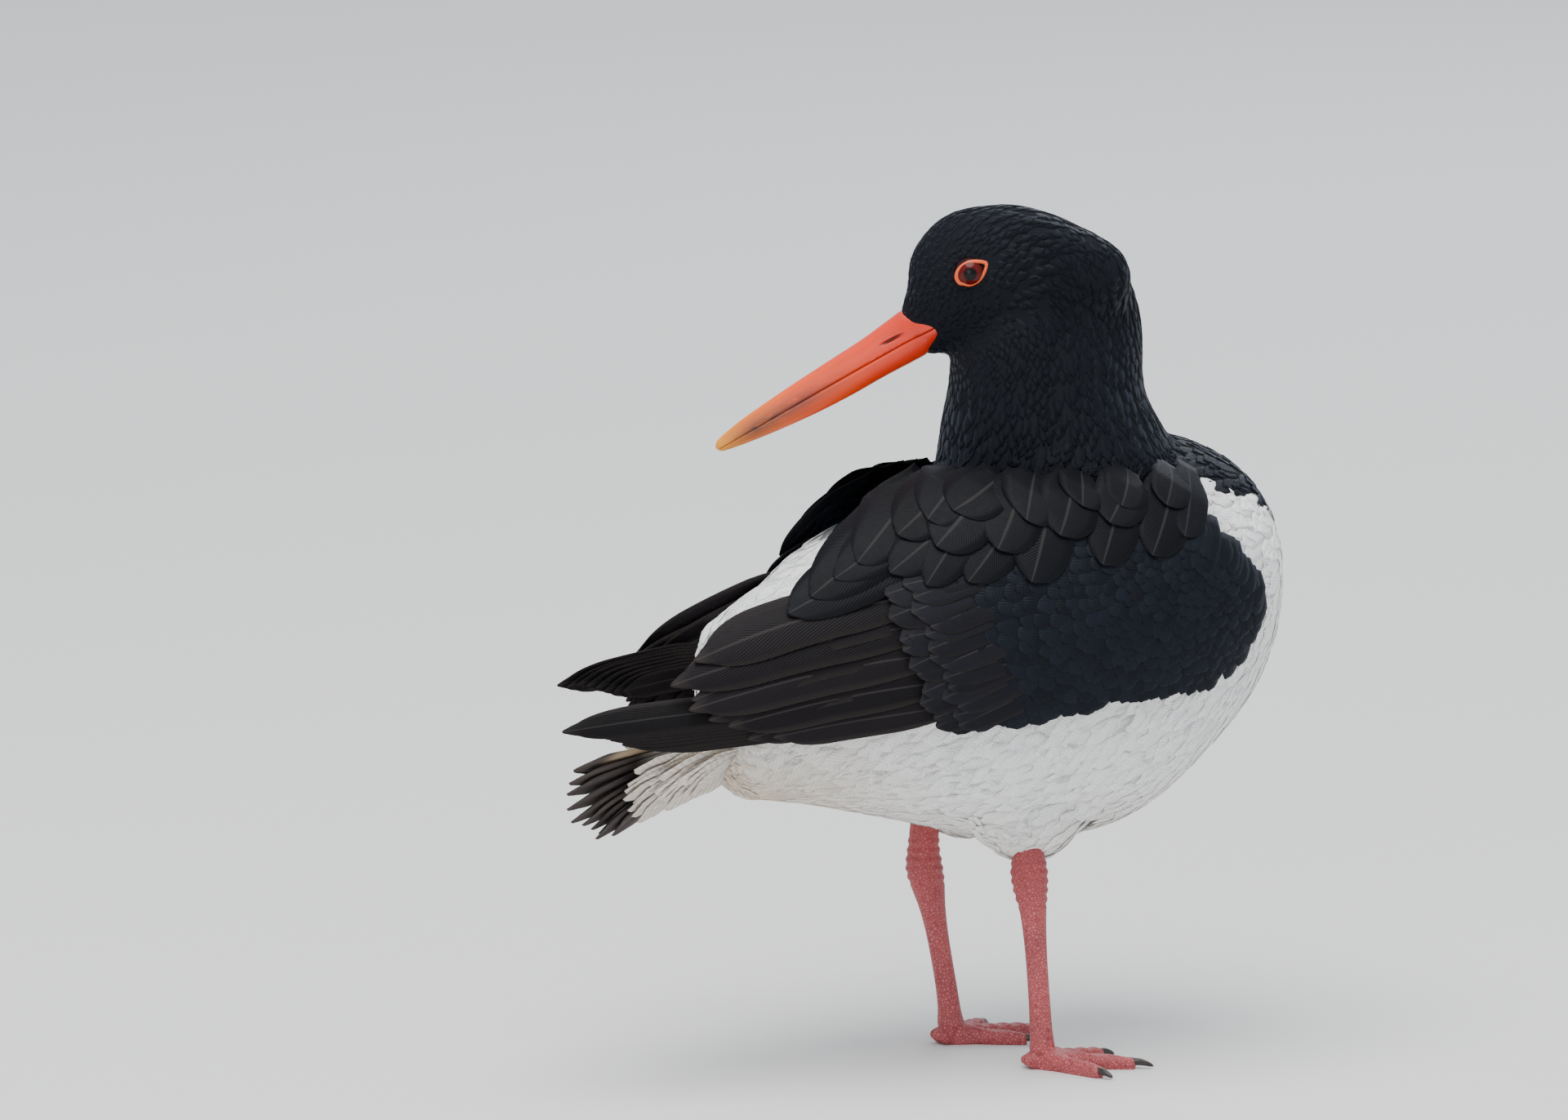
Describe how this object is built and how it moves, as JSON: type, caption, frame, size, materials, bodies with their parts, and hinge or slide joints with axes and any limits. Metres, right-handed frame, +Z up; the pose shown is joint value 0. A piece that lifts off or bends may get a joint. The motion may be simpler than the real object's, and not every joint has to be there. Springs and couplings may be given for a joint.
{
  "type": "oystercatcher",
  "caption": "Still, life-size oystercatcher standing on two legs with its head turned back and its long bill pointing over its shoulder.",
  "frame": {"origin": "on the floor, at the middle of the outline seen from above", "axes": "+X the way the breast faces, +Y the bird's left, +Z up"},
  "size_m": [0.2552, 0.129, 0.275],
  "materials": {
    "white_plumage": "soft matt white contour feathers, warmer under the tail",
    "black_plumage": "black contour feathers with a faint blue sheen",
    "wing_feather": "blue-black coverts and brown-black flight feathers",
    "tail_feather": "dark brown vanes with pale bases",
    "bill": "smooth orange-red horn, yellower at the tip",
    "leg_skin": "dull pink scaled skin",
    "claw": "black horn",
    "eye_ring": "bare orange-red skin",
    "eye": "wet dark crimson iris with a black pupil"
  },
  "bodies": {
    "root": {"bill_lower": "bill", "bill_upper": "bill", "claw_left_inner": "claw", "claw_left_middle": "claw", "claw_left_outer": "claw", "claw_right_inner": "claw", "claw_right_middle": "claw", "claw_right_outer": "claw", "eye_left": "eye", "eye_right": "eye", "eye_ring_left": "eye_ring", "eye_ring_right": "eye_ring", "foot_left": "leg_skin", "foot_right": "leg_skin", "head": "black_plumage", "neck": "black_plumage", "shank_left": "leg_skin", "shank_right": "leg_skin", "tail": "tail_feather", "torso": "white_plumage", "wing_left": "wing_feather", "wing_right": "wing_feather"}
  },
  "joints": []
}
